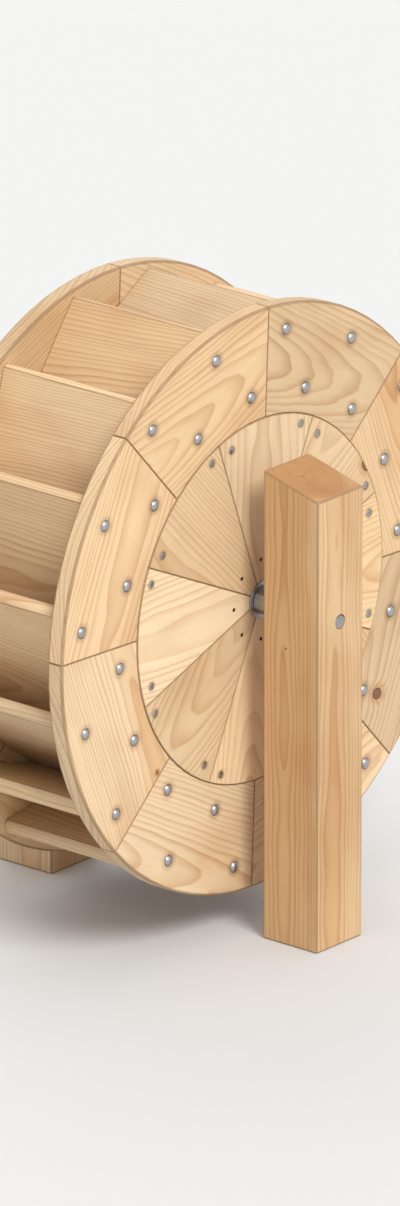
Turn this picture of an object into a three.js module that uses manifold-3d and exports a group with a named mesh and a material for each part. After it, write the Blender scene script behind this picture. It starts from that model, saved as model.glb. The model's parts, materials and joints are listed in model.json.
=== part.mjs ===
// A wooden water wheel that turns on a steel axle between two square posts.
// Millimetres, +Z up. The origin is on the ground, midway between the posts and under the axle.
// The axle lies along Y, and the near side of the wheel faces -Y.
import * as THREE from "three";
import { mergeVertices } from "three/addons/utils/BufferGeometryUtils.js";
import Module from "manifold-3d";

const wasm = await Module();
wasm.setup();

const radians = THREE.MathUtils.degToRad;

// Gap left between two faces that touch on the real wheel
const FIT_GAP = 0.3;

// Posts: sawn square timbers, their tops cut to a slope that sheds water away from the wheel
const POST_WIDTH = 88.9;
const POST_INNER_Y = 176;
const POST_HIGH_EDGE = 627;
const POST_TOP_SLOPE = 15;

// Axle: a threaded rod in drilled holes, clamped to the wheel by a washer and a long nut a side
const AXLE_HEIGHT = 434;
const AXLE_RADIUS = 9.5;
const AXLE_RUNNING_GAP = 0.4;
const AXLE_SET_BACK = 0.4;
const WASHER_RADIUS = 24;
const WASHER_THICKNESS = 2;
const NUT_SIDES = 12;
const NUT_CORNER_RADIUS = 18.6;
const NUT_LENGTH = 19;
const NUT_CHAMFER = 1;
const NUT_TURN = 22;

// Wheel: how far it stands turned from its even position, counter-clockwise as the near side shows it
const WHEEL_TURN = -2.45;
const WHEEL_RADIUS = 384.6;
const SIDE_SPACING = 220;

// Sides: eight rim segments round eight wedge boards, whose joints lie half a step apart
const BOARDS_ROUND = 8;
const RIM_INNER_RADIUS = 240.3;
const RIM_THICKNESS = 24;
const RIM_EASED_EDGE = 2;
const WEDGE_PROUD = 1.3;
const FACETS_PER_BOARD = 10;

// Paddles: each board's foot butts on the inner face of the next, so that sixteen close a drum
const PADDLE_COUNT = 16;
const PADDLE_FIRST_ANGLE = 10.55;
const PADDLE_INNER_FACE = 262.9;
const PADDLE_THICKNESS = 19.1;
const PADDLE_REACH = 248.4;
const PADDLE_NOSE = 4.5;

// Formers: sixteen-sided plates inside the drum, which the wedge boards are screwed to
const FORMER_THICKNESS = 19.1;

const BOARD_STEP = 360 / BOARDS_ROUND;
const PADDLE_STEP = 360 / PADDLE_COUNT;
const POST_OUTER_Y = POST_INNER_Y + POST_WIDTH;
const HUB_HOLE_RADIUS = AXLE_RADIUS + AXLE_RUNNING_GAP;
const WEDGE_THICKNESS = RIM_THICKNESS + WEDGE_PROUD;
const WEDGE_FACE = SIDE_SPACING / 2 + WEDGE_THICKNESS;
const WASHER_START = WEDGE_FACE + FIT_GAP;
const NUT_START = WASHER_START + WASHER_THICKNESS + FIT_GAP;

const wood = (name, colour) => {
  return new THREE.MeshStandardMaterial({ name, color: colour, roughness: 0.75, metalness: 0 });
};
const steel = (name, colour) => {
  return new THREE.MeshStandardMaterial({ name, color: colour, roughness: 0.4, metalness: 1 });
};

const MATERIALS = {
  post: wood("post", 0xd8c19a),
  rim: wood("rim", 0xdcc9a4),
  wedge: wood("wedge", 0xe2d0ac),
  paddle: wood("paddle", 0xd4bd93),
  former: wood("former", 0xcbb58d),
  axle: steel("axle", 0xa9adb0),
  fastener: steel("fastener", 0xb4b8bb),
};

// Booleans: a closed geometry to a solid, and back

function solidOf(geometry) {
  const bare = geometry.clone();
  bare.deleteAttribute("normal");
  bare.deleteAttribute("uv");
  const merged = mergeVertices(bare);
  const mesh = new wasm.Mesh({
    numProp: 3,
    vertProperties: merged.attributes.position.array,
    triVerts: new Uint32Array(merged.index.array),
  });
  return new wasm.Manifold(mesh);
}

function geometryOf(solid) {
  const { vertProperties, triVerts } = solid.getMesh();
  const geometry = new THREE.BufferGeometry();
  geometry.setAttribute("position", new THREE.BufferAttribute(new Float32Array(vertProperties), 3));
  geometry.setIndex(new THREE.BufferAttribute(new Uint32Array(triVerts), 1));
  geometry.computeVertexNormals();
  return geometry;
}

// Shapes. The wheel's pieces are drawn as the near side shows them: X right, Y up, Z to the viewer.

// An outline of [x, y] points, extruded by a depth along Z from 0
function extruded(outline, depth) {
  const shape = new THREE.Shape(outline.map(([x, y]) => new THREE.Vector2(x, y)));
  return new THREE.ExtrudeGeometry(shape, { depth, bevelEnabled: false });
}

// A closed profile of [radius, z] points, turned about Z
function turned(profile, facets) {
  const closed = [...profile, profile[0]].map(([radius, z]) => new THREE.Vector2(radius, z));
  return new THREE.LatheGeometry(closed, facets).rotateX(Math.PI / 2);
}

// A flat ring from z = 0 up to its thickness
function flatRing(innerRadius, outerRadius, thickness, facets) {
  const profile = [
    [outerRadius, 0],
    [outerRadius, thickness],
    [innerRadius, thickness],
    [innerRadius, 0],
  ];
  return turned(profile, facets);
}

// The prism about +X that keeps one board of a side, with half a gap left along both joints
function boardSector() {
  const half = radians(BOARD_STEP / 2);
  const point = FIT_GAP / 2 / Math.sin(half);
  const far = 2 * WHEEL_RADIUS;
  const spread = (far - point) * Math.tan(half);
  const depth = 2 * WEDGE_THICKNESS;
  const outline = [
    [point, 0],
    [far, -spread],
    [far, spread],
  ];
  return extruded(outline, depth).translate(0, 0, -depth / 4);
}

// Wheel pieces

function rimSegment() {
  const easedRadius = WHEEL_RADIUS - RIM_EASED_EDGE;
  const profile = [
    [easedRadius, 0],
    [WHEEL_RADIUS, RIM_EASED_EDGE],
    [WHEEL_RADIUS, RIM_THICKNESS - RIM_EASED_EDGE],
    [easedRadius, RIM_THICKNESS],
    [RIM_INNER_RADIUS, RIM_THICKNESS],
    [RIM_INNER_RADIUS, 0],
  ];
  const ring = turned(profile, BOARDS_ROUND * FACETS_PER_BOARD);
  return geometryOf(solidOf(ring).intersect(solidOf(boardSector())));
}

function wedgeBoard() {
  const outerRadius = RIM_INNER_RADIUS - FIT_GAP;
  const facets = BOARDS_ROUND * FACETS_PER_BOARD;
  const disc = flatRing(HUB_HOLE_RADIUS, outerRadius, WEDGE_THICKNESS, facets);
  return geometryOf(solidOf(disc).intersect(solidOf(boardSector())));
}

// A paddle with its faces level: Y is the distance from the axle, and X runs towards the tip
function paddleBoard() {
  const step = radians(PADDLE_STEP);
  const outerFace = PADDLE_INNER_FACE + PADDLE_THICKNESS;
  const butt = PADDLE_INNER_FACE - FIT_GAP;
  const footAt = (y) => (y * Math.cos(step) - butt) / Math.sin(step);
  const halfThickness = PADDLE_THICKNESS / 2;
  const noseRadius = (halfThickness ** 2 + PADDLE_NOSE ** 2) / (2 * PADDLE_NOSE);
  const noseHalfAngle = Math.asin(halfThickness / noseRadius);
  const noseX = PADDLE_REACH + PADDLE_NOSE - noseRadius;
  const shape = new THREE.Shape();
  shape.moveTo(footAt(outerFace), outerFace);
  shape.lineTo(footAt(PADDLE_INNER_FACE), PADDLE_INNER_FACE);
  shape.absarc(
    noseX,
    PADDLE_INNER_FACE + halfThickness,
    noseRadius,
    -noseHalfAngle,
    noseHalfAngle,
    false,
  );
  shape.closePath();
  const depth = SIDE_SPACING - 2 * FIT_GAP;
  const options = { depth, bevelEnabled: false, curveSegments: 8 };
  return new THREE.ExtrudeGeometry(shape, options).translate(0, 0, -depth / 2);
}

// A former with the first of its sides facing +Y, like the paddle that lies on it
function formerPlate() {
  const outerRadius = (PADDLE_INNER_FACE - FIT_GAP) / Math.cos(radians(PADDLE_STEP / 2));
  const plate = new THREE.CylinderGeometry(outerRadius, outerRadius, FORMER_THICKNESS, PADDLE_COUNT);
  plate.rotateX(Math.PI / 2).rotateZ(radians(PADDLE_STEP / 2));
  plate.translate(0, 0, FORMER_THICKNESS / 2);
  const hole = new THREE.CylinderGeometry(HUB_HOLE_RADIUS, HUB_HOLE_RADIUS, 3 * FORMER_THICKNESS, 32);
  hole.rotateX(Math.PI / 2);
  return geometryOf(solidOf(plate).subtract(solidOf(hole)));
}

function washer() {
  return flatRing(HUB_HOLE_RADIUS, WASHER_RADIUS, WASHER_THICKNESS, 48);
}

// A many-sided prism with a bore and a chamfer turned round both ends
function hubNut() {
  const radius = NUT_CORNER_RADIUS;
  const prism = new THREE.CylinderGeometry(radius, radius, NUT_LENGTH, NUT_SIDES);
  prism.rotateX(Math.PI / 2).translate(0, 0, NUT_LENGTH / 2);
  const profile = [
    [radius - NUT_CHAMFER, 0],
    [radius + NUT_CHAMFER, 2 * NUT_CHAMFER],
    [radius + NUT_CHAMFER, NUT_LENGTH - 2 * NUT_CHAMFER],
    [radius - NUT_CHAMFER, NUT_LENGTH],
    [HUB_HOLE_RADIUS, NUT_LENGTH],
    [HUB_HOLE_RADIUS, 0],
  ];
  const envelope = turned(profile, 4 * NUT_SIDES);
  return geometryOf(solidOf(prism).intersect(solidOf(envelope)));
}

function axleRod() {
  const length = 2 * (POST_OUTER_Y - AXLE_SET_BACK);
  return new THREE.CylinderGeometry(AXLE_RADIUS, AXLE_RADIUS, length, 32).rotateX(Math.PI / 2);
}

// The stand's pieces

// The near post: its side outline, seen along -X, extruded to its width and drilled for the axle
function postTimber() {
  const drop = POST_WIDTH * Math.tan(radians(POST_TOP_SLOPE));
  const shape = new THREE.Shape();
  shape.moveTo(-POST_OUTER_Y, 0);
  shape.lineTo(-POST_INNER_Y, 0);
  shape.lineTo(-POST_INNER_Y, POST_HIGH_EDGE);
  shape.lineTo(-POST_OUTER_Y, POST_HIGH_EDGE - drop);
  shape.closePath();
  const timber = new THREE.ExtrudeGeometry(shape, { depth: POST_WIDTH, bevelEnabled: false });
  timber.translate(0, 0, -POST_WIDTH / 2);
  timber.rotateY(Math.PI / 2).rotateX(Math.PI / 2);
  const hole = new THREE.CylinderGeometry(HUB_HOLE_RADIUS, HUB_HOLE_RADIUS, 4 * POST_OUTER_Y, 32);
  hole.translate(0, 0, AXLE_HEIGHT);
  return geometryOf(solidOf(timber).subtract(solidOf(hole)));
}

function named(name, geometry, material) {
  const mesh = new THREE.Mesh(geometry, material);
  mesh.name = name;
  return mesh;
}

function stand() {
  const group = new THREE.Group();
  const geometry = postTimber();
  const nearPost = named("near_post", geometry, MATERIALS.post);
  const farPost = named("far_post", geometry, MATERIALS.post);
  farPost.rotation.z = Math.PI;
  group.add(nearPost, farPost);
  return group;
}

// One side of the wheel from its inner face outwards, as the near side has it
function wheelSide(side) {
  const group = new THREE.Group();
  const rim = rimSegment();
  const wedge = wedgeBoard();
  for (let i = 0; i < BOARDS_ROUND; i += 1) {
    const rimMesh = named(`${side}_rim_${i + 1}`, rim, MATERIALS.rim);
    const wedgeMesh = named(`${side}_wedge_${i + 1}`, wedge, MATERIALS.wedge);
    rimMesh.rotation.z = radians((i + 0.5) * BOARD_STEP);
    wedgeMesh.rotation.z = radians(i * BOARD_STEP);
    rimMesh.position.z = SIDE_SPACING / 2;
    wedgeMesh.position.z = SIDE_SPACING / 2;
    group.add(rimMesh, wedgeMesh);
  }
  const washerMesh = named(`${side}_washer`, washer(), MATERIALS.fastener);
  washerMesh.position.z = WASHER_START;
  const nutMesh = named(`${side}_nut`, hubNut(), MATERIALS.fastener);
  nutMesh.rotation.z = radians(NUT_TURN);
  nutMesh.position.z = NUT_START;
  group.add(washerMesh, nutMesh);
  return group;
}

function wheel() {
  const group = new THREE.Group();
  const nearSide = wheelSide("near");
  const farSide = wheelSide("far");
  farSide.rotation.y = Math.PI;
  group.add(nearSide, farSide);

  const paddle = paddleBoard();
  for (let i = 0; i < PADDLE_COUNT; i += 1) {
    const number = String(i + 1).padStart(2, "0");
    const mesh = named(`paddle_${number}`, paddle, MATERIALS.paddle);
    mesh.rotation.z = radians(PADDLE_FIRST_ANGLE + i * PADDLE_STEP - 90);
    group.add(mesh);
  }

  const former = formerPlate();
  const formerOffset = SIDE_SPACING / 2 - FIT_GAP;
  const nearFormer = named("near_former", former, MATERIALS.former);
  const farFormer = named("far_former", former, MATERIALS.former);
  nearFormer.rotation.z = radians(PADDLE_FIRST_ANGLE - 90);
  farFormer.rotation.z = radians(PADDLE_FIRST_ANGLE - 90);
  nearFormer.position.z = formerOffset - FORMER_THICKNESS;
  farFormer.position.z = -formerOffset;
  group.add(nearFormer, farFormer, named("axle", axleRod(), MATERIALS.axle));

  group.rotation.z = radians(WHEEL_TURN);
  return group;
}

// The wheel's own drawing stands upright on the axle's height
const uprightWheel = new THREE.Group();
uprightWheel.add(wheel());
uprightWheel.rotation.x = Math.PI / 2;
uprightWheel.position.z = AXLE_HEIGHT;

const waterWheel = new THREE.Group();
waterWheel.add(stand(), uprightWheel);

export default waterWheel;
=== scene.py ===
"""A wooden water wheel between two square posts: its finish, fasteners, camera and studio.

Metres, +Z up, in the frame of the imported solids. The axle lies along Y and the near side faces -Y.
"""

import json
import math
import random

import bmesh
import bpy
import numpy as np
from mathutils import Matrix, Vector

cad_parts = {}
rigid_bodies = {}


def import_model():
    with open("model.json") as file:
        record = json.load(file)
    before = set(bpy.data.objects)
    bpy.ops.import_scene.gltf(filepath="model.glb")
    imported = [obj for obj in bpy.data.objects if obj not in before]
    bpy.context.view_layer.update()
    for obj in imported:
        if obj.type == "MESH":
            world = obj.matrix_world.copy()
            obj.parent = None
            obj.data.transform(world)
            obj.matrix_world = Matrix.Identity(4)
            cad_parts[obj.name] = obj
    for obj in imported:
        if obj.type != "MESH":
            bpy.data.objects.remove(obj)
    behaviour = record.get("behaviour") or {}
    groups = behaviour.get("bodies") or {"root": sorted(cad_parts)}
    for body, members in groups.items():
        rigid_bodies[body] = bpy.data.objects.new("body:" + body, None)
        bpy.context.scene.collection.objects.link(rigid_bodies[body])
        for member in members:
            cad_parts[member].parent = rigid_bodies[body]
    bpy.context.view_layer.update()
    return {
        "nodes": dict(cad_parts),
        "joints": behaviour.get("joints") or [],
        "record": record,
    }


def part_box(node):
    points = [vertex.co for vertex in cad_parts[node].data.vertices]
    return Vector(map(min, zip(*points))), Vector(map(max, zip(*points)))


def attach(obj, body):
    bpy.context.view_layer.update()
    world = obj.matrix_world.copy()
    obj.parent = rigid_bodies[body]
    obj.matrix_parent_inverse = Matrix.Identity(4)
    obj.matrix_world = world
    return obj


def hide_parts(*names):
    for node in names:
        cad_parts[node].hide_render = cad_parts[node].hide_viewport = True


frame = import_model()

MM = 0.001
AXLE = Vector(frame["joints"][0]["pos_m"])
RIM_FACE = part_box("far_rim_1")[1].y
RIM_RADIUS = 384.6 * MM
WEDGE_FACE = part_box("far_wedge_1")[1].y
BODIES = frame["record"]["behaviour"]["bodies"]
BODY_OF = {node: body for body, nodes in BODIES.items() for node in nodes}
SIDES = (("near", -1), ("far", 1))

# The wheel's layout, as angles counter-clockwise from +X seen from the near side
WHEEL_TURN = math.radians(-2.45)
BOARDS_ROUND = 8
BOARD_STEP = math.tau / BOARDS_ROUND
PADDLE_COUNT = 16
PADDLE_STEP = math.tau / PADDLE_COUNT
PADDLE_FIRST_ANGLE = math.radians(10.55) + WHEEL_TURN
PADDLE_MIDDLE = (262.9 + 19.1 / 2) * MM


def direction(angle):
    """The unit vector at an angle round the axle, counter-clockwise seen from the near side."""
    return Vector((math.cos(angle), 0, math.sin(angle)))


# Camera: the drawing is seen from 50 degrees to the left of the near side and 20 degrees up

PHOTO_WIDTH = 400
PHOTO_HEIGHT = 1206
PHOTO_METRES_PER_PIXEL = 1.2597 * MM
PHOTO_AZIMUTH = math.radians(-49.92)
PHOTO_ELEVATION = math.radians(19.83)
PHOTO_HUB = (261.02, 599.16)
LENS = 500
SENSOR = 36


def photo_camera():
    """A long lens at the drawing's angle, with the near side's hub where the drawing has it."""
    back = Vector(
        (
            math.sin(PHOTO_AZIMUTH) * math.cos(PHOTO_ELEVATION),
            -math.cos(PHOTO_AZIMUTH) * math.cos(PHOTO_ELEVATION),
            math.sin(PHOTO_ELEVATION),
        )
    )
    right = Vector((math.cos(PHOTO_AZIMUTH), math.sin(PHOTO_AZIMUTH), 0))
    up = back.cross(right)
    hub = Vector((AXLE.x, -WEDGE_FACE, AXLE.z))
    across = (PHOTO_WIDTH / 2 - PHOTO_HUB[0]) * PHOTO_METRES_PER_PIXEL
    down = (PHOTO_HEIGHT / 2 - PHOTO_HUB[1]) * PHOTO_METRES_PER_PIXEL
    target = hub + right * across - up * down
    distance = PHOTO_HEIGHT * PHOTO_METRES_PER_PIXEL * LENS / SENSOR

    camera = bpy.data.objects.new("camera", bpy.data.cameras.new("camera"))
    bpy.context.scene.collection.objects.link(camera)
    camera.data.lens = LENS
    camera.data.sensor_width = SENSOR
    camera.data.clip_end = 3 * distance
    camera.location = target + back * distance
    camera.rotation_mode = "QUATERNION"
    camera.rotation_quaternion = (-back).to_track_quat("-Z", "Y")
    bpy.context.scene.camera = camera


# Studio: a pale floor without end under an even sky, a broad soft key light and a faint one behind

SKY = (0.93, 0.94, 0.96)
SKY_STRENGTH = 0.92
# What the camera sees past the floor's end, which is as bright as the floor is there
BACKDROP = (0.983, 0.983, 0.983)
FLOOR_COLOUR = (0.60, 0.595, 0.585, 1)
FLOOR_HALF_WIDTH = 60
# Name, strength, spread and where it shines from
LIGHTS = (
    ("key", 2.3, math.radians(24), Vector((-0.30, -0.78, 0.80))),
    ("back", 0.75, math.radians(60), Vector((0.45, 0.80, 0.55))),
)


def studio():
    scene = bpy.context.scene
    scene.view_settings.view_transform = "Standard"

    world = bpy.data.worlds.new("sky")
    world.use_nodes = True
    scene.world = world
    tree = world.node_tree
    background = tree.nodes["Background"]
    background.inputs["Strength"].default_value = SKY_STRENGTH
    path = tree.nodes.new("ShaderNodeLightPath")
    shown = tree.nodes.new("ShaderNodeMix")
    shown.data_type = "RGBA"
    shown.inputs[6].default_value = (*SKY, 1)
    shown.inputs[7].default_value = (*BACKDROP, 1)
    tree.links.new(path.outputs["Is Camera Ray"], shown.inputs[0])
    tree.links.new(shown.outputs[2], background.inputs["Color"])

    for name, strength, spread, shines_from in LIGHTS:
        light = bpy.data.lights.new(name, "SUN")
        light.energy = strength
        light.angle = spread
        sun = bpy.data.objects.new(name, light)
        scene.collection.objects.link(sun)
        sun.rotation_mode = "QUATERNION"
        sun.rotation_quaternion = (-shines_from).to_track_quat("-Z", "Y")

    mesh = bpy.data.meshes.new("floor")
    half = FLOOR_HALF_WIDTH
    corners = [(-half, -half, 0), (half, -half, 0), (half, half, 0), (-half, half, 0)]
    mesh.from_pydata(corners, [], [(0, 1, 2, 3)])
    floor = bpy.data.objects.new("floor", mesh)
    scene.collection.objects.link(floor)
    paint = Finish("floor_paint")
    mesh.materials.append(paint.surface({"Base Color": FLOOR_COLOUR, "Roughness": 0.9}))


# Shader expressions


class Wire:
    """An output of a node tree. Arithmetic on it adds Math nodes."""

    def __init__(self, finish, socket):
        self.finish = finish
        self.socket = socket

    def math(self, operation, *values):
        return self.finish.node("Math", {"operation": operation}, dict(enumerate(values)))[0]

    def __add__(self, other):
        return self.math("ADD", self, other)

    def __radd__(self, other):
        return self.math("ADD", other, self)

    def __sub__(self, other):
        return self.math("SUBTRACT", self, other)

    def __rsub__(self, other):
        return self.math("SUBTRACT", other, self)

    def __mul__(self, other):
        return self.math("MULTIPLY", self, other)

    def __rmul__(self, other):
        return self.math("MULTIPLY", other, self)

    def __truediv__(self, other):
        return self.math("DIVIDE", self, other)

    def __pow__(self, power):
        return self.math("POWER", self, power)

    def fraction(self):
        return self.math("FRACT", self)

    def floor(self):
        return self.math("FLOOR", self)

    def sine(self):
        return self.math("SINE", self)

    def cosine(self):
        return self.math("COSINE", self)

    def exponential(self):
        return self.math("EXPONENT", self)

    def size(self):
        return self.math("ABSOLUTE", self)

    def at_least(self, least):
        return self.math("MAXIMUM", self, least)

    def angle_to(self, across):
        """The angle, in radians, whose sine runs with this and whose cosine runs with the other."""
        return self.math("ARCTAN2", self, across)

    def ramp_up(self, low, high):
        """0 below low, 1 above high, and a smooth rise between them."""
        settings = {"interpolation_type": "SMOOTHSTEP"}
        sockets = {"Value": self, "From Min": low, "From Max": high}
        return self.finish.node("MapRange", settings, sockets)[0]


class Finish:
    """A material whose node tree is built by expressions."""

    def __init__(self, name):
        self.material = bpy.data.materials.new(name)
        self.material.use_nodes = True
        self.tree = self.material.node_tree
        self.tree.nodes.clear()

    def node(self, kind, settings, sockets):
        """Adds a node, its settings first and then its sockets, and returns its outputs."""
        node = self.tree.nodes.new("ShaderNode" + kind)
        for name, value in settings.items():
            if name == "stops":
                self.set_stops(node.color_ramp, value)
            else:
                setattr(node, name, value)
        for key, value in sockets.items():
            if isinstance(value, Wire):
                self.tree.links.new(value.socket, node.inputs[key])
            else:
                node.inputs[key].default_value = value
        return [Wire(self, socket) for socket in node.outputs]

    @staticmethod
    def set_stops(ramp, stops):
        while len(ramp.elements) < len(stops):
            ramp.elements.new(1)
        for element, (place, colour) in zip(ramp.elements, stops):
            element.position = place
            element.color = (*colour, 1)

    def attribute(self, name):
        """A vector that the mesh carries, as three wires."""
        vector = self.node("Attribute", {"attribute_name": name}, {})[1]
        return self.parts(vector)

    def place(self):
        """Where the surface is, in the piece's own coordinates, as three wires."""
        return self.parts(self.node("TexCoord", {}, {})[3])

    def parts(self, vector):
        return self.node("SeparateXYZ", {}, {"Vector": vector})

    def vector(self, x, y, z):
        return self.node("CombineXYZ", {}, {"X": x, "Y": y, "Z": z})[0]

    def noise(self, vector, scale=1, detail=2, roughness=0.5):
        sockets = {"Vector": vector, "Scale": scale, "Detail": detail, "Roughness": roughness}
        return self.node("TexNoise", {}, sockets)[0]

    def ramp(self, value, stops):
        return self.node("ValToRGB", {"stops": stops}, {"Fac": value})[0]

    def mix(self, factor, first, second, blend="MIX"):
        """Two colours mixed: sockets 0, 6 and 7 are a colour Mix node's factor and colours."""
        settings = {"data_type": "RGBA", "blend_type": blend}
        return self.node("Mix", settings, {0: factor, 6: first, 7: second})[2]

    def scaled(self, colour, factor):
        settings = {"operation": "SCALE"}
        return self.node("VectorMath", settings, {0: colour, "Scale": factor})[0]

    def bump(self, height, distance, strength):
        sockets = {"Height": height, "Distance": distance, "Strength": strength}
        return self.node("Bump", {}, sockets)[0]

    def surface(self, sockets):
        """Ends the tree with one surface, and returns the material."""
        shader = self.node("BsdfPrincipled", {}, sockets)[0]
        self.node("OutputMaterial", {}, {"Surface": shader})
        return self.material


# Timber: every board carries its place in the trunk that it was sawn from, as "grain", in metres:
# X along the trunk, Y and Z out from its pith. "board" holds, from 0 to 1, how far a face takes the
# painted shade and dirt of eased edges and recess walls, how far it is end grain, and the board's
# tone.

# Knots: how far apart along the trunk, how fast they widen outward, and their least half-width
KNOT_SPACING = 0.19
KNOT_TAPER = (0.03, 0.08)
KNOT_LEAST = 0.4 * MM
# Drying checks: how many run out from the pith, and how wide, far, dark and deep they are, the dark
# being painted shade in the cracks
CHECK_COUNT = 3
CHECK_WIDTH = 0.5 * MM
CHECK_REACH = 30 * MM
CHECK_SHADE = 2
CHECK_DEPTH = -1
HEARTWOOD_RADIUS = 55 * MM
PLY = 2.73 * MM
PITCH_BROWN = (0.62, 0.40, 0.20, 1)
KNOT_GLOW = (0.72, 0.42, 0.18, 1)
KNOT_BARK = (0.07, 0.035, 0.018, 1)
HEART_RED = (0.90, 0.76, 0.62, 1)
WARM = (1.0, 0.93, 0.82, 1)
COOL = (0.95, 0.97, 0.99, 1)
END_GRAIN = (0.72, 0.60, 0.48, 1)
# Brown of the painted shade and dirt on eased edges, the joints between boards and the recess walls
EDGE_SHADE_AND_DIRT = (0.27, 0.150, 0.066, 1)
# Grey of the iron stain round fasteners, also used for the painted shade in the posts' drying checks
STAIN_AND_CHECK_SHADE = (0.50, 0.46, 0.43, 1)


def knots(finish, x, y, z):
    """Branches that run out from the pith, one in each stretch of trunk.

    Returns the distance from the nearest one, in its own half-widths, and that half-width.
    """
    cell = (x / KNOT_SPACING).floor()
    dice = finish.node("TexWhiteNoise", {"noise_dimensions": "1D"}, {"W": cell})[1]
    shift, turn, size = finish.parts(dice)
    along = x - (cell + 0.3 + 0.4 * shift) * KNOT_SPACING
    angle = turn * math.tau
    out = y * angle.cosine() + z * angle.sine()
    side = z * angle.cosine() - y * angle.sine()
    thin, thick = KNOT_TAPER
    half_width = (out * (thin + (thick - thin) * size)).at_least(KNOT_LEAST)
    distance = (along * along + side * side) ** 0.5
    return distance / half_width, half_width


def knot_colour(finish, colour, knot, ripple):
    """Lays the knots and the resin round them over the wood's colour."""
    rings = ((knot + ripple * 0.8) * 3.2).fraction()
    heart = finish.ramp(
        rings,
        [(0.0, (0.34, 0.17, 0.07)), (0.6, (0.24, 0.11, 0.045)), (1.0, (0.13, 0.055, 0.025))],
    )
    bark = knot.ramp_up(0.72, 0.95) * (1 - knot.ramp_up(0.98, 1.25))
    heart = finish.mix(bark, heart, KNOT_BARK)
    glow = (1 - knot.ramp_up(1.0, 2.6)) * 0.5
    colour = finish.mix(glow, colour, KNOT_GLOW, "MULTIPLY")
    return finish.mix(1 - knot.ramp_up(0.95, 1.08), colour, heart)


def softwood(name, early, late, ring_width, marks=None):
    """Planed softwood: growth rings round the pith, heartwood, fibres, knots, end grain, and edges
    darkened by painted shade and dirt.

    marks gives a board's own marks: where it is darkened (iron stain round fasteners, painted shade
    in drying checks) and how deep it is sawn, or None.
    """
    finish = Finish(name)
    x, y, z = finish.attribute("grain")
    shade_and_dirt_mask, end, tone = finish.attribute("board")

    def stretched(along, across, detail=2, roughness=0.5):
        """Noise drawn out along the trunk, by its repeats a metre along and across it."""
        place = finish.vector(x * along, y * across, z * across)
        return finish.noise(place, detail=detail, roughness=roughness)

    sway = stretched(4, 11) - 0.5
    ripple = stretched(14, 60, detail=1) - 0.5
    knot, knot_width = knots(finish, x, y, z)
    bulge = (knot * knot * -0.45).exponential() * knot_width
    from_pith = (y * y + z * z) ** 0.5
    radius = from_pith + sway * 0.012 + ripple * 0.0016 + bulge * 1.2
    uneven = finish.noise(finish.vector(radius * 42, 0.0, 0.0), detail=1) - 0.5
    rings = radius / ring_width + uneven * 2.6
    late_wood = finish.ramp(
        rings.fraction(),
        [
            (0.0, (0.0, 0.0, 0.0)),
            (0.45, (0.13, 0.13, 0.13)),
            (0.80, (0.75, 0.75, 0.75)),
            (0.91, (1.0, 1.0, 1.0)),
            (0.98, (0.1, 0.1, 0.1)),
        ],
    )
    season = finish.noise(finish.vector(rings.floor() * 0.37, 0.0, 0.0), detail=0)
    late_share = finish.parts(late_wood)[0] * (0.25 + 1.15 * season)

    fibre = stretched(16, 700, roughness=0.6)
    streak = stretched(3, 90)
    cloud = stretched(5, 9)

    colour = finish.mix(late_share * 0.85, (*early, 1), (*late, 1))
    waving = from_pith + sway * 0.03
    sapwood = waving.ramp_up(HEARTWOOD_RADIUS - 4 * MM, HEARTWOOD_RADIUS + 5 * MM)
    colour = finish.mix((1 - sapwood) * 0.75, colour, HEART_RED, "MULTIPLY")
    colour = finish.scaled(colour, 0.84 + 0.18 * fibre + 0.16 * streak)
    colour = finish.mix(cloud.ramp_up(0.45, 0.75) * 0.35, colour, PITCH_BROWN, "MULTIPLY")
    colour = knot_colour(finish, colour, knot, ripple)

    hue = (tone * 7.31).fraction()
    colour = finish.mix(hue, finish.mix(1.0, colour, WARM, "MULTIPLY"), colour)
    colour = finish.mix((tone * 3.77).fraction() * 0.6, colour, COOL, "MULTIPLY")
    colour = finish.scaled(colour, 0.83 + 0.25 * tone)
    colour = finish.mix(end * 0.8, colour, END_GRAIN, "MULTIPLY")
    # Painted shade and dirt: eased edges, slanted faces and recess walls are darkened towards a
    # brown, to read as shade in the joints and as outlines
    colour = finish.mix(shade_and_dirt_mask * (0.43 + 0.5 * streak), colour, EDGE_SHADE_AND_DIRT)

    height = fibre * 0.5 + late_share * 0.5 + streak * 0.5
    if marks is not None:
        # Iron stain round the fasteners on rims and wedges; on the posts, painted shade in the
        # drying checks
        darkening, saw_depth = marks(finish)
        colour = finish.mix(darkening * (0.35 + 0.5 * cloud), colour, STAIN_AND_CHECK_SHADE, "MULTIPLY")
        if saw_depth is not None:
            colour = finish.scaled(colour, 1 - 0.16 * saw_depth)
            height = height + saw_depth * 1.4
    rough = 0.66 - 0.10 * late_share + 0.10 * fibre + 0.1 * end
    normal = finish.bump(height, 0.25 * MM, 0.55)
    return finish.surface({"Base Color": colour, "Roughness": rough, "Normal": normal})


def stained(finish, polar, places, step, head_radius):
    """1 by the heads, fading out round them. places are (radius, angle), repeated every step."""
    radius, angle = polar
    darkening = None
    for head_out, head_angle in places:
        turn = (((angle - head_angle) / step + 0.5).fraction() - 0.5) * step
        side = turn * head_out
        out = radius - head_out
        distance = (out * out + side * side) ** 0.5
        ring = 1 - distance.ramp_up(head_radius, 2.4 * head_radius)
        darkening = ring if darkening is None else darkening + ring
    return darkening


def polar_place(finish):
    """Where the surface is, as its distance from the axle, the angle round it and |Y|."""
    x, y, z = finish.place()
    height = z - AXLE.z
    return (x * x + height * height) ** 0.5, height.angle_to(x), y.size()


def at_face(depth, face):
    """1 on a side's outer face, and 0 from 2 mm behind it."""
    return depth.ramp_up(face - 2 * MM, face - 1 * MM)


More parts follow.
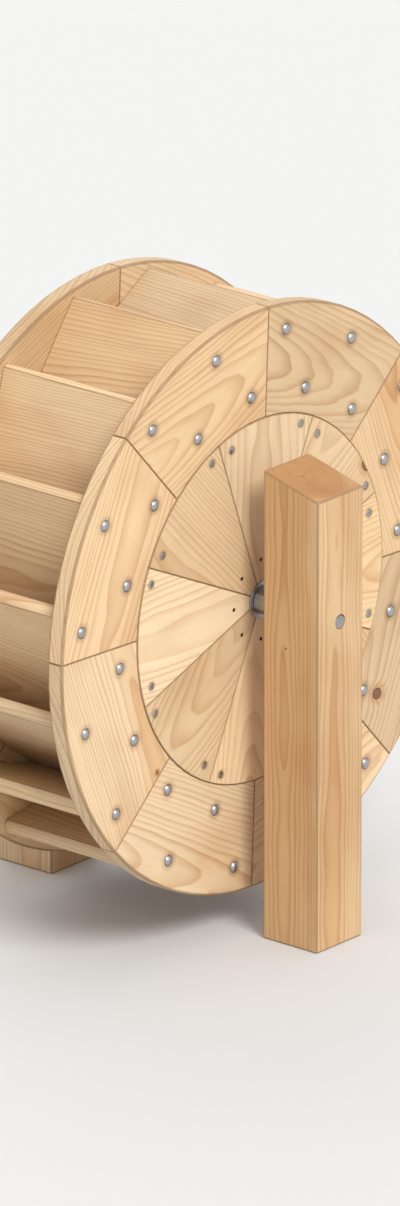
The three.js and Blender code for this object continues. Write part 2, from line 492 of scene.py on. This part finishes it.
def rim_marks(finish):
    """Iron stain round the bolts, and the band saw's marks on the rim's curved edges."""
    radius, angle, depth = polar_place(finish)
    places = []
    for reach in BOLTS_FROM_FOOT:
        turn = math.atan2(reach, PADDLE_MIDDLE)
        places.append((math.hypot(reach, PADDLE_MIDDLE), PADDLE_FIRST_ANGLE - turn))
    darkening = stained(finish, (radius, angle), places, PADDLE_STEP, BOLT_RADIUS)
    edge = radius.ramp_up(RIM_RADIUS - 2.5 * MM, RIM_RADIUS - 1.5 * MM)
    sawn = finish.noise(finish.vector(angle * 75, depth * 6, 0.0), detail=3, roughness=0.7)
    return darkening * at_face(depth, RIM_FACE), edge * sawn


def post_marks(finish):
    """Drying checks that run out from the pith on the sawn ends, darkened with painted shade and cut
    in by bump.
    """
    _, y, z = finish.attribute("grain")
    _, end, _ = finish.attribute("board")
    away = (y * y + z * z) ** 0.5
    wander = finish.noise(finish.vector(away * 90, 0.0, 0.0), detail=1)
    turn = z.angle_to(y) * (CHECK_COUNT / math.tau) + 0.3 + wander * 0.12
    aside = ((turn.fraction() - 0.5) * away * (math.tau / CHECK_COUNT)).size()
    width = CHECK_WIDTH * (1.05 - away / CHECK_REACH)
    split = 1 - (aside / width).ramp_up(0.5, 1.1)
    split = split * (1 - away.ramp_up(0.9 * CHECK_REACH, CHECK_REACH)) * end
    return split * CHECK_SHADE, split * CHECK_DEPTH


def wedge_marks(finish):
    """Iron stain round the screws."""
    radius, angle, depth = polar_place(finish)
    places = [(reach, WHEEL_TURN + turn) for reach, turn in WEDGE_SCREWS]
    darkening = stained(finish, (radius, angle), places, BOARD_STEP, SCREW_RADIUS)
    return darkening * at_face(depth, WEDGE_FACE), None


def plywood(name, veneer, glue):
    """Rotary-cut veneer on the faces, and the plies' crossed grain on the edges."""
    finish = Finish(name)
    x, y, z = finish.place()
    facing = finish.parts(finish.node("NewGeometry", {}, {})[1])[1].size()
    swirl = finish.noise(finish.vector(x * 5, 0.0, z * 1.2), detail=3)
    figure = ((swirl + x * 2) * 14).fraction().ramp_up(0.5, 1.0)
    fibre = finish.noise(finish.vector(x * 500, 0.0, z * 14), detail=2)
    face = finish.mix(figure * 0.5, (*veneer, 1), (*glue, 1))
    face = finish.scaled(face, 0.85 + 0.3 * fibre)
    ply = (y / PLY).fraction()
    crossed = ((y / PLY).floor() * 0.5).fraction().ramp_up(0.2, 0.3)
    speck = finish.noise(finish.vector(x * 700, 0.0, z * 700), detail=1)
    edge = finish.mix(crossed * (0.5 + 0.4 * speck), (*veneer, 1), (*glue, 1))
    edge = finish.mix((ply - 0.5).size().ramp_up(0.42, 0.49), edge, KNOT_BARK)
    colour = finish.mix(facing.ramp_up(0.6, 0.8), edge, face)
    rough = 0.6 + 0.15 * fibre
    normal = finish.bump(fibre, 0.2 * MM, 0.5)
    return finish.surface({"Base Color": colour, "Roughness": rough, "Normal": normal})


def steel(name, colour, roughness):
    """Plated steel: a soft, faintly blotched metal."""
    finish = Finish(name)
    x, y, z = finish.place()
    blotch = finish.noise(finish.vector(x, y, z), scale=90, detail=3)
    grit = finish.noise(finish.vector(x, y, z), scale=900, detail=2)
    dull = tuple(0.72 * c for c in colour)
    return finish.surface(
        {
            "Base Color": finish.mix(blotch, (*dull, 1), (*colour, 1)),
            "Metallic": 1.0,
            "Roughness": roughness + 0.12 * blotch + 0.06 * grit,
            "Normal": finish.bump(grit, 0.05 * MM, 0.4),
        }
    )


# Small turned solids and carving

SLIVER = 0.002 * MM


def spin(work, profile, facets, place):
    """Adds a closed turned solid. Its (radius, height) points run from the axis to the axis."""
    rings = []
    for radius, height in profile:
        if radius == 0:
            rings.append([work.verts.new(place @ Vector((0, 0, height)))])
            continue
        steps = [math.tau * i / facets for i in range(facets)]
        ring = [Vector((radius * math.cos(a), radius * math.sin(a), height)) for a in steps]
        rings.append([work.verts.new(place @ point) for point in ring])
    for upper, lower in zip(rings, rings[1:]):
        for i in range(facets):
            j = (i + 1) % facets
            sides_down = (upper[i % len(upper)], lower[i % len(lower)])
            sides_up = (lower[j % len(lower)], upper[j % len(upper)])
            work.faces.new(list(dict.fromkeys(sides_down + sides_up)))


def finished(work, name):
    """The worked mesh as a Blender mesh, its faces pointing out."""
    bmesh.ops.recalc_face_normals(work, faces=work.faces)
    mesh = bpy.data.meshes.new(name)
    work.to_mesh(mesh)
    work.free()
    return mesh


def carved(mesh, knife_mesh):
    """The mesh with the knife's solids taken out of it, without the slivers that this leaves."""
    scene_objects = bpy.context.scene.collection.objects
    block = bpy.data.objects.new("block", mesh)
    knife = bpy.data.objects.new("knife", knife_mesh)
    scene_objects.link(block)
    scene_objects.link(knife)
    cut = block.modifiers.new("cut", "BOOLEAN")
    cut.operation = "DIFFERENCE"
    cut.solver = "EXACT"
    cut.object = knife
    depsgraph = bpy.context.evaluated_depsgraph_get()
    result = bpy.data.meshes.new_from_object(block.evaluated_get(depsgraph))
    bpy.data.objects.remove(block)
    bpy.data.objects.remove(knife)
    result.name = mesh.name
    work = bmesh.new()
    work.from_mesh(result)
    bmesh.ops.remove_doubles(work, verts=work.verts, dist=SLIVER)
    bmesh.ops.dissolve_degenerate(work, edges=work.edges, dist=SLIVER)
    work.to_mesh(result)
    work.free()
    return result


# Fasteners, by the places of their middles round the axle

BOLTS_FROM_FOOT = (219.6 * MM, 20.9 * MM)
WEDGE_SCREWS = ((227.5 * MM, math.radians(-17.65)), (221.1 * MM, math.radians(17.45)))
HUB_NAILS = ((53 * MM, -WHEEL_TURN),)
BOLT_RADIUS = 7 * MM
SCREW_RADIUS = 4.2 * MM

# Profiles from the axis to the axis, as (radius, height over the wood) in millimetres
BOLT_HEAD = (
    (0, 3.4),
    (1.8, 3.27),
    (3.4, 2.85),
    (4.8, 2.1),
    (5.9, 1.15),
    (6.6, 0.35),
    (6.95, -0.2),
    (6.95, -0.6),
    (0, -0.6),
)
BOLT_RECESS = ((0, 1.0), (8.35, 1.0), (7.6, -0.8), (0, -0.8))
SCREW_HEAD = ((0, -0.3), (3.9, -0.3), (4.2, -0.5), (3.6, -1.5), (0, -1.5))
SCREW_RECESS = ((0, 1.0), (5.9, 1.0), (4.3, -1.6), (0, -1.6))
NAIL_HEAD = ((0, 0.75), (1.2, 0.6), (2.0, 0.15), (2.2, -0.2), (2.2, -0.6), (0, -0.6))
NAIL_RECESS = ((0, 1.0), (3.3, 1.0), (2.6, -0.7), (0, -0.7))
HEAD_FACETS = 24
HEAD_CREASE = math.radians(38)

# The screws' cross recess, in millimetres: its arms, and how they widen with the height
CROSS_ARM = 2.4
CROSS_HALF_WIDTH = 0.5
CROSS_RINGS = ((0.7, 1.12), (-1.3, 0.7))


def bolt_places():
    """Two bolts in each end of every paddle, half-way through its thickness."""
    places = []
    for i in range(PADDLE_COUNT):
        foot = PADDLE_FIRST_ANGLE + i * PADDLE_STEP
        tip = direction(foot - math.pi / 2)
        places += [direction(foot) * PADDLE_MIDDLE + tip * reach for reach in BOLTS_FROM_FOOT]
    return places


def wedge_places(fastenings):
    """Places given for one wedge board, by radius and angle from its middle, on all of them."""
    middles = [i * BOARD_STEP + WHEEL_TURN for i in range(BOARDS_ROUND)]
    return [direction(middle + turn) * radius for middle in middles for radius, turn in fastenings]


def on_side(place, side, face, spin_angle=0.0):
    """A matrix from a fastener's own frame to its place on a side's face."""
    stand_up = Matrix.Rotation(-side * math.pi / 2, 4, "X")
    middle = AXLE + place + Vector((0, side * face, 0))
    scale = Matrix.Scale(MM, 4)
    return Matrix.Translation(middle) @ stand_up @ Matrix.Rotation(spin_angle, 4, "Z") @ scale


def cross():
    """A plus-shaped solid that narrows downward. Each of its rings has a height and a scale."""
    work = bmesh.new()
    arm = [
        Vector((CROSS_ARM, -CROSS_HALF_WIDTH, 0)),
        Vector((CROSS_ARM, CROSS_HALF_WIDTH, 0)),
        Vector((CROSS_HALF_WIDTH, CROSS_HALF_WIDTH, 0)),
    ]
    turns = [Matrix.Rotation(i * math.pi / 2, 3, "Z") for i in range(4)]
    outline = [turn @ corner for turn in turns for corner in arm]
    rings = []
    for height, scale in CROSS_RINGS:
        lift = Vector((0, 0, height))
        rings.append([work.verts.new(corner * scale + lift) for corner in outline])
    upper, lower = rings
    work.faces.new(upper)
    work.faces.new(lower)
    for i in range(len(outline)):
        work.faces.new((upper[i - 1], upper[i], lower[i], lower[i - 1]))
    return finished(work, "cross")


def turned_head(profile, name):
    """A head in its own frame, in millimetres, with its axis along Z."""
    work = bmesh.new()
    spin(work, profile, HEAD_FACETS, Matrix.Identity(4))
    return finished(work, name)


def heads(name, head_mesh, places, side, face, metal):
    """All the heads of one kind on one side, as one piece."""
    work = bmesh.new()
    for place in places:
        start = len(work.verts)
        work.from_mesh(head_mesh)
        work.verts.ensure_lookup_table()
        matrix = on_side(place, side, face, rng.uniform(0, math.tau))
        bmesh.ops.transform(work, matrix=matrix, verts=work.verts[start:])
    mesh = finished(work, name)
    mesh.polygons.foreach_set("use_smooth", [True] * len(mesh.polygons))
    mesh.set_sharp_from_angle(angle=HEAD_CREASE)
    mesh.materials.append(metal)
    piece = bpy.data.objects.new(name, mesh)
    bpy.context.scene.collection.objects.link(piece)
    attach(piece, "wheel")


def fasteners(plated, black):
    """The bolt, screw and nail heads of both sides."""
    screw = carved(turned_head(SCREW_HEAD, "screw head"), cross())
    bolt = turned_head(BOLT_HEAD, "bolt head")
    nail = turned_head(NAIL_HEAD, "nail head")
    for word, side in SIDES:
        heads(f"{word}_bolt_heads", bolt, bolt_places(), side, RIM_FACE, plated)
        heads(f"{word}_screw_heads", screw, wedge_places(WEDGE_SCREWS), side, WEDGE_FACE, plated)
        heads(f"{word}_nail_heads", nail, wedge_places(HUB_NAILS), side, WEDGE_FACE, black)


def recesses(angle, holes, side, face):
    """One mesh of the recesses on the board at this angle, from (places, profile) pairs, their walls
    marked for painted shade.
    """
    work = bmesh.new()
    for places, profile in holes:
        for place in places:
            turn = (math.atan2(place.z, place.x) - angle + math.pi) % math.tau - math.pi
            if abs(turn) < BOARD_STEP / 2:
                spin(work, profile, HEAD_FACETS, on_side(place, side, face))
    # The recess walls take the board's painted edge shade, which darkens them as the shadow round
    # the heads would
    shade_and_dirt_mask = work.faces.layers.float.new("shade_and_dirt_mask")
    for wall in work.faces:
        wall[shade_and_dirt_mask] = 1.0
    return finished(work, "recesses")


# Boards: each one is its solid with the flat faces whole again and the edges eased

SHARP = math.radians(20)
CREASE = math.radians(50)
COPLANAR = math.radians(0.6)
SHORT = 2.5 * MM
END_GRAIN_FALL = 1.6
# A solid's face is an eased edge too, and takes the painted shade and dirt, where its normal runs
# along the axle by a share between these
SLANTED = (0.3, 0.95)


def planed(node, ease, shortest=0.0):
    """A mesh of the node's solid, its sharp edges bevelled off, and the bevelled and slanted faces
    marked to take painted shade and dirt.

    Edges up to the shortest length stay as they are.
    """
    work = bmesh.new()
    work.from_mesh(frame["nodes"][node].data)
    bmesh.ops.remove_doubles(work, verts=work.verts, dist=0.01 * MM)
    bmesh.ops.dissolve_limit(work, angle_limit=COPLANAR, verts=work.verts, edges=work.edges)
    shade_and_dirt_mask = work.faces.layers.float.new("shade_and_dirt_mask")
    for face in work.faces:
        face[shade_and_dirt_mask] = float(SLANTED[0] < abs(face.normal.y) < SLANTED[1])
    arrises = [
        edge
        for edge in work.edges
        if edge.calc_face_angle(0) > SHARP and edge.calc_length() > shortest
    ]
    made = bmesh.ops.bevel(
        work,
        geom=arrises,
        offset=ease,
        offset_type="OFFSET",
        segments=2,
        profile=0.5,
        affect="EDGES",
        clamp_overlap=False,
    )
    for face in made["faces"]:
        face[shade_and_dirt_mask] = 1.0
    return finished(work, node)


def write_attribute(mesh, name, kind, domain, key, values):
    """Gives the mesh a named value on each of its points or faces."""
    attribute = mesh.attributes.new(name, kind, domain)
    attribute.data.foreach_set(key, np.asarray(values, np.float32).ravel())


def read_vectors(items, key):
    """An array of three columns, one row for each vertex or face."""
    values = np.empty(len(items) * 3, np.float32)
    items.foreach_get(key, values)
    return values.reshape(-1, 3)


def carry_grain(mesh, along, out, pith, lean):
    """Writes the mesh's place in its trunk. pith is the board's middle seen from the trunk's."""
    across = out.cross(along)
    tilt = Matrix.Rotation(lean[0], 3, "Y") @ Matrix.Rotation(lean[1], 3, "Z")
    turn = np.array(tilt @ Matrix((along, across, out)))
    places = read_vectors(mesh.vertices, "co")
    middle = (places.max(0) + places.min(0)) / 2
    grain = (places - middle) @ turn.T + np.array(pith)
    write_attribute(mesh, "grain", "FLOAT_VECTOR", "POINT", "vector", grain)

    facing_along = np.abs(read_vectors(mesh.polygons, "normal") @ np.array(along))
    end_grain = np.clip(1 - END_GRAIN_FALL * (1 - facing_along), 0, 1)
    shade_and_dirt_mask = np.zeros(len(mesh.polygons), np.float32)
    mesh.attributes["shade_and_dirt_mask"].data.foreach_get("value", shade_and_dirt_mask)
    tone = np.full(len(mesh.polygons), rng.random())
    board = np.stack([shade_and_dirt_mask, end_grain, tone], axis=1)
    write_attribute(mesh, "board", "FLOAT_VECTOR", "FACE", "vector", board)


def dress(node, mesh, material):
    """Shows this mesh for the node."""
    mesh.materials.clear()
    mesh.materials.append(material)
    mesh.polygons.foreach_set("use_smooth", [True] * len(mesh.polygons))
    mesh.set_sharp_from_angle(angle=CREASE)
    piece = bpy.data.objects.new(node + "_dressed", mesh)
    bpy.context.scene.collection.objects.link(piece)
    weights = piece.modifiers.new("even faces", "WEIGHTED_NORMAL")
    weights.weight = 100
    weights.keep_sharp = True
    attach(piece, BODY_OF[node])
    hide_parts(node)


# How boards lie in the trunk, in metres and degrees: where along it, how far the pith is aside and
# below, and how far they lean, in flat-sawn boards and in timbers that hold the pith
TRUNK_REACH = 40
PITH_ASIDE = 0.06
PITH_BELOW = (0.06, 0.13)
FLAT_LEAN = (5, 2)
HEART_LEAN = (0.6, 0.6)


def board(node, material, along, out, ease, heart=None, knife=None):
    """Dresses one timber. heart is where the pith runs in it, and without one it is flat-sawn."""
    mesh = planed(node, ease, shortest=SHORT if heart else 0.0)
    if knife is not None:
        mesh = carved(mesh, knife)
    side = rng.choice((-1, 1)) if heart is None else 1
    place = rng.uniform(-TRUNK_REACH, TRUNK_REACH)
    if heart is None:
        aside = rng.uniform(-PITH_ASIDE, PITH_ASIDE)
        heart = (aside, side * rng.uniform(*PITH_BELOW))
        most = FLAT_LEAN
    else:
        most = HEART_LEAN
    pith = (place, *heart)
    lean = [math.radians(rng.uniform(-degrees, degrees)) for degrees in most]
    carry_grain(mesh, along, out, pith, lean)
    dress(node, mesh, material)


ALONG_AXLE = Vector((0, 1, 0))
UPRIGHT = Vector((0, 0, 1))

# How much is taken off the edges, and where the pith runs in each post
RIM_EASE = 1.3 * MM
WEDGE_EASE = 1.2 * MM
PADDLE_EASE = 1.0 * MM
POST_EASE = 2.2 * MM
NUT_EASE = 0.35 * MM
WASHER_EASE = 0.5 * MM
POST_HEARTS = {"near_post": (0.012, -0.009), "far_post": (-0.010, 0.014)}


def angle_of(node):
    """The angle of a side's board, taken from its solid to the nearest half step of the layout."""
    middle = sum((v.co for v in frame["nodes"][node].data.vertices), Vector())
    middle = middle / len(frame["nodes"][node].data.vertices) - AXLE
    half_step = BOARD_STEP / 2
    steps = round((math.atan2(middle.z, middle.x) - WHEEL_TURN) / half_step)
    return steps * half_step + WHEEL_TURN


def wheel_sides(rim_wood, wedge_wood):
    """Rim segments with the grain round the wheel, and wedge boards with it out from the hub."""
    bolts = [(bolt_places(), BOLT_RECESS)]
    screws = [
        (wedge_places(WEDGE_SCREWS), SCREW_RECESS),
        (wedge_places(HUB_NAILS), NAIL_RECESS),
    ]
    for word, side in SIDES:
        for i in range(1, BOARDS_ROUND + 1):
            rim = f"{word}_rim_{i}"
            angle = angle_of(rim)
            knife = recesses(angle, bolts, side, RIM_FACE)
            tangent = direction(angle + math.pi / 2)
            board(rim, rim_wood, tangent, ALONG_AXLE, RIM_EASE, knife=knife)
            wedge = f"{word}_wedge_{i}"
            angle = angle_of(wedge)
            knife = recesses(angle, screws, side, WEDGE_FACE)
            board(wedge, wedge_wood, direction(angle), ALONG_AXLE, WEDGE_EASE, knife=knife)


def drum(wood, sheet):
    """The paddles and the formers inside them."""
    for i in range(PADDLE_COUNT):
        out = direction(PADDLE_FIRST_ANGLE + i * PADDLE_STEP)
        board(f"paddle_{i + 1:02d}", wood, ALONG_AXLE, out, PADDLE_EASE)
    for word, _ in SIDES:
        board(f"{word}_former", sheet, UPRIGHT, ALONG_AXLE, PADDLE_EASE)


def posts(wood):
    """The two posts, with the pith inside them."""
    for node, heart in POST_HEARTS.items():
        board(node, wood, UPRIGHT, ALONG_AXLE, POST_EASE, heart=heart)


# Axle: a rod whose thread is cut where it shows, at the hub and at the posts' outer faces

ROD_FACETS = 32
ROD_CHAMFER = 1.0 * MM
# The thread is a triangle wave, steepened and clipped to flat crests and roots
THREAD_PITCH = 2.54 * MM
THREAD_DEPTH = 1.3 * MM
THREAD_STEPS = 5
THREAD_SLOPE = 1.5
THREAD_CREST = 0.25
# It fades out over the run-out, goes on out of sight in nut and post, and is short at the ends
RUN_OUT = 2.0 * MM
THREAD_HIDDEN = 3.0 * MM
THREAD_AT_ENDS = 9.0 * MM


def threaded_rod(metal):
    """Dresses the axle with rings along it, each cut as deep as the thread is at its facets."""
    lo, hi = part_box("axle")
    radius = (hi.x - lo.x) / 2
    end = hi.y
    nut_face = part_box("far_nut")[1].y
    post_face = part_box("far_post")[0].y
    shown = (
        (nut_face - THREAD_HIDDEN, post_face + THREAD_HIDDEN),
        (end - THREAD_AT_ENDS, end),
    )
    step = THREAD_PITCH / THREAD_STEPS
    stations = []
    for start, stop in shown:
        count = int((stop - start) / step)
        stations.append((start - RUN_OUT, 0))
        stations += [(start + i * step, THREAD_DEPTH) for i in range(count)]
        stations.append((stop, THREAD_DEPTH))
        if stop < end:
            stations.append((stop + RUN_OUT, 0))
    stations = [(-y, depth) for y, depth in reversed(stations)] + stations
    rings = []
    for y, depth in stations:
        turns = np.arange(ROD_FACETS) / ROD_FACETS
        phase = (y / THREAD_PITCH - turns) % 1
        cut = np.clip(abs(2 * phase - 1) * THREAD_SLOPE - THREAD_CREST, 0, 1)
        fade = min(1.0, (end - abs(y)) / ROD_CHAMFER)
        ring = radius - depth * np.maximum(cut, 1 - fade)
        angle = turns * math.tau
        rings += [(r * math.cos(a), y, AXLE.z + r * math.sin(a)) for r, a in zip(ring, angle)]
    faces = [tuple(range(ROD_FACETS)), tuple(len(rings) - 1 - i for i in range(ROD_FACETS))]
    for row in range(len(stations) - 1):
        base = row * ROD_FACETS
        for i in range(ROD_FACETS):
            j = (i + 1) % ROD_FACETS
            faces.append((base + i, base + j, base + ROD_FACETS + j, base + ROD_FACETS + i))
    mesh = bpy.data.meshes.new("axle")
    mesh.from_pydata(rings, [], faces)
    work = bmesh.new()
    work.from_mesh(mesh)
    dress("axle", finished(work, "threaded rod"), metal)


def ironwork(plate, rod):
    """Washers, nuts and axle."""
    for word, _ in SIDES:
        dress(f"{word}_washer", planed(f"{word}_washer", WASHER_EASE), plate)
        dress(f"{word}_nut", planed(f"{word}_nut", NUT_EASE, shortest=SHORT), plate)
    threaded_rod(rod)


# Each pine's early and late wood, the width of its growth rings in millimetres, and its marks
PINES = (
    ("rim", (0.71, 0.53, 0.33), (0.52, 0.31, 0.145), 4.4, rim_marks),
    ("wedge", (0.75, 0.575, 0.37), (0.56, 0.35, 0.17), 4.8, wedge_marks),
    ("paddle", (0.68, 0.50, 0.305), (0.49, 0.285, 0.13), 4.2, None),
    ("post", (0.69, 0.51, 0.315), (0.50, 0.295, 0.135), 3.6, post_marks),
)

rng = random.Random(7)

photo_camera()
studio()
pine = {
    name: softwood(f"{name}_pine", early, late, ring_width * MM, marks)
    for name, early, late, ring_width, marks in PINES
}
former_ply = plywood("former_ply", (0.66, 0.48, 0.29), (0.47, 0.28, 0.14))
zinc_plate = steel("zinc_plate", (0.52, 0.53, 0.54), 0.28)
zinc_rod = steel("zinc_rod", (0.44, 0.45, 0.46), 0.32)
black_iron = steel("black_iron", (0.055, 0.05, 0.047), 0.4)
wheel_sides(pine["rim"], pine["wedge"])
drum(pine["paddle"], former_ply)
posts(pine["post"])
ironwork(zinc_plate, zinc_rod)
fasteners(zinc_plate, black_iron)
